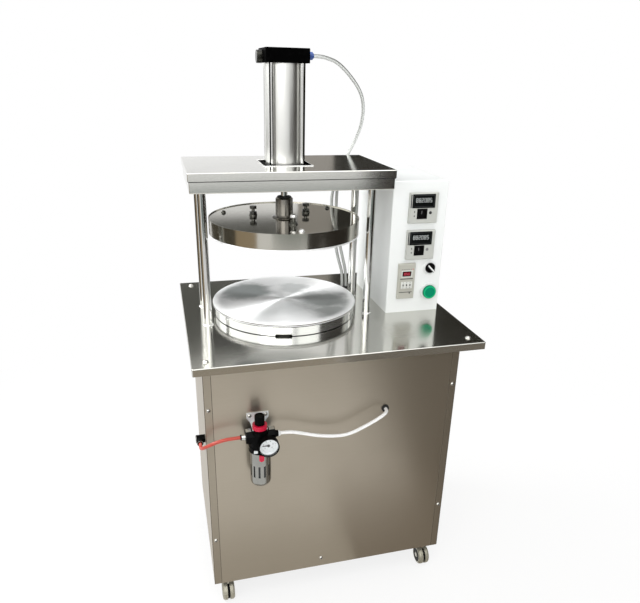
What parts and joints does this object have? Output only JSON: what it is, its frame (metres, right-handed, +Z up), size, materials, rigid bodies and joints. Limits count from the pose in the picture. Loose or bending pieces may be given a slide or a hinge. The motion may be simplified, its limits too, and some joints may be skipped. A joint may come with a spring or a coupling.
{
  "type": "automatic tortilla press",
  "caption": "Wheeled stainless cabinet with a heated tortilla press: an air cylinder on columns closes the round upper platen onto the lower one, beside a control box.",
  "frame": {"origin": "on the floor under the middle of the table top", "axes": "+Z up, +X to the right seen from the front, the front with the control panel faces -Y"},
  "size_m": [0.65, 0.55, 1.304],
  "materials": {
    "cabinet_steel": "satin brushed stainless sheet",
    "frame_paint": "dark primer on welded angle iron",
    "table_steel": "brushed stainless sheet, near mirror",
    "crosshead_steel": "light satin stainless sheet",
    "column_chrome": "polished chrome",
    "screw_steel": "zinc-plated steel",
    "cap_black": "black anodised",
    "barrel_aluminium": "drawn tube, satin",
    "coupling_steel": "turned steel",
    "platen_aluminium": "turned face with fine rings",
    "band_steel": "polished stainless sheet",
    "heater_steel": "heat-tinted steel tube",
    "box_white": "white powder coat",
    "controller_white": "off-white moulding",
    "timer_grey": "grey-beige moulding",
    "switch_black": "black moulding",
    "bezel_pale": "pale grey moulding",
    "button_green": "green moulding",
    "regulator_black": "black paint on die casting",
    "bracket_steel": "zinc-plated steel",
    "signal_red": "red moulding",
    "guard_steel": "grey metal guard",
    "bowl_clear": "clear moulding",
    "gauge_black": "black paint",
    "gauge_white": "white dial",
    "gauge_glass": "clear lens",
    "fitting_metal": "nickel plate",
    "grommet_rubber": "black rubber",
    "valve_aluminium": "satin",
    "hose_red": "soft red tube",
    "hose_white": "soft white tube",
    "hose_clear": "soft clear tube",
    "caster_steel": "plated steel",
    "caster_plastic": "hard moulded wheel"
  },
  "bodies": {
    "cabinet": {"cabinet_frame": "frame_paint", "left_panel": "cabinet_steel", "right_panel": "cabinet_steel", "front_panel": "cabinet_steel", "rear_panel": "cabinet_steel", "table_top": "table_steel", "press_bed": "frame_paint", "cabinet_screws": "screw_steel", "guide_columns": "column_chrome", "crosshead_plate": "crosshead_steel", "crosshead_tray": "crosshead_steel", "crosshead_cover": "crosshead_steel", "cylinder_tube": "barrel_aluminium", "cylinder_rear_cap": "cap_black", "cylinder_front_cap": "cap_black", "tie_rods": "screw_steel", "lower_platen": "platen_aluminium", "lower_band": "band_steel", "lower_heater": "heater_steel", "control_box": "box_white", "temperature_controllers": "controller_white", "timer": "timer_grey", "switch_bezels": "bezel_pale", "regulator_bracket": "bracket_steel", "regulator_body": "regulator_black", "lock_ring": "signal_red", "filter_bowl": "bowl_clear", "bowl_guard": "guard_steel", "gauge_case": "gauge_black", "gauge_dial": "gauge_white", "gauge_lens": "gauge_glass", "air_fittings": "fitting_metal", "grommets": "grommet_rubber", "solenoid_valve": "valve_aluminium", "supply_hose": "hose_red", "outlet_tube": "hose_white", "upper_port_tube": "hose_clear", "lower_port_tube": "hose_clear"},
    "press": {"piston": "barrel_aluminium", "piston_rod": "column_chrome", "rod_coupling": "coupling_steel", "upper_cover": "band_steel", "upper_platen": "platen_aluminium", "upper_heater": "heater_steel", "platen_bolts": "screw_steel"},
    "selector": {"selector_knob": "switch_black"},
    "button": {"start_button": "button_green"},
    "upper_dial": {"upper_set_dial": "switch_black"},
    "lower_dial": {"lower_set_dial": "switch_black"},
    "knob": {"regulator_knob": "switch_black"},
    "needle": {"gauge_needle": "gauge_black"},
    "latch": {"bowl_latch": "signal_red"},
    "caster_front_left": {"caster_fork_front_left": "caster_steel"},
    "wheels_front_left": {"caster_wheels_front_left": "caster_plastic"},
    "caster_front_right": {"caster_fork_front_right": "caster_steel"},
    "wheels_front_right": {"caster_wheels_front_right": "caster_plastic"},
    "caster_rear_left": {"caster_fork_rear_left": "caster_steel"},
    "wheels_rear_left": {"caster_wheels_rear_left": "caster_plastic"},
    "caster_rear_right": {"caster_fork_rear_right": "caster_steel"},
    "wheels_rear_right": {"caster_wheels_rear_right": "caster_plastic"}
  },
  "joints": [
    {"name": "press_slide", "type": "slide", "parent": "cabinet", "child": "press", "axis": [0, 0, -1], "range_m": [0, 0.165]},
    {"name": "start_button_push", "type": "slide", "parent": "cabinet", "child": "button", "axis": [0, 1, 0], "range_m": [0, 0.004], "stiffness_N_per_m": 800},
    {"name": "selector_turn", "type": "hinge", "parent": "cabinet", "child": "selector", "pos_m": [0.2717, -0.059, 0.82], "axis": [0, 1, 0], "range_deg": [0, 90]},
    {"name": "upper_dial_turn", "type": "hinge", "parent": "cabinet", "child": "upper_dial", "pos_m": [0.235, -0.059, 0.954], "axis": [0, 1, 0], "range_deg": [-150, 150]},
    {"name": "lower_dial_turn", "type": "hinge", "parent": "cabinet", "child": "lower_dial", "pos_m": [0.235, -0.059, 0.865], "axis": [0, 1, 0], "range_deg": [-150, 150]},
    {"name": "regulator_knob_turn", "type": "hinge", "parent": "cabinet", "child": "knob", "pos_m": [-0.185, -0.234, 0.5455], "axis": [0, 0, 1], "range_deg": [-720, 720]},
    {"name": "gauge_needle_turn", "type": "hinge", "parent": "cabinet", "child": "needle", "pos_m": [-0.171, -0.264, 0.4994], "axis": [0, 1, 0], "range_deg": [-45, 225]},
    {"name": "bowl_latch_slide", "type": "slide", "parent": "cabinet", "child": "latch", "axis": [0, 0, -1], "range_m": [0, 0.003], "stiffness_N_per_m": 300},
    {"name": "caster_swivel_front_left", "type": "hinge", "parent": "cabinet", "child": "caster_front_left", "pos_m": [-0.2678, -0.1688, 0.067], "axis": [0, 0, 1], "continuous": true},
    {"name": "wheel_spin_front_left", "type": "hinge", "parent": "caster_front_left", "child": "wheels_front_left", "pos_m": [-0.2678, -0.1848, 0.025], "axis": [1, 0, 0], "continuous": true},
    {"name": "caster_swivel_front_right", "type": "hinge", "parent": "cabinet", "child": "caster_front_right", "pos_m": [0.2678, -0.1688, 0.067], "axis": [0, 0, 1], "continuous": true},
    {"name": "wheel_spin_front_right", "type": "hinge", "parent": "caster_front_right", "child": "wheels_front_right", "pos_m": [0.2678, -0.1848, 0.025], "axis": [1, 0, 0], "continuous": true},
    {"name": "caster_swivel_rear_left", "type": "hinge", "parent": "cabinet", "child": "caster_rear_left", "pos_m": [-0.2678, 0.1688, 0.067], "axis": [0, 0, 1], "continuous": true},
    {"name": "wheel_spin_rear_left", "type": "hinge", "parent": "caster_rear_left", "child": "wheels_rear_left", "pos_m": [-0.2678, 0.1528, 0.025], "axis": [1, 0, 0], "continuous": true},
    {"name": "caster_swivel_rear_right", "type": "hinge", "parent": "cabinet", "child": "caster_rear_right", "pos_m": [0.2678, 0.1688, 0.067], "axis": [0, 0, 1], "continuous": true},
    {"name": "wheel_spin_rear_right", "type": "hinge", "parent": "caster_rear_right", "child": "wheels_rear_right", "pos_m": [0.2678, 0.1528, 0.025], "axis": [1, 0, 0], "continuous": true}
  ]
}
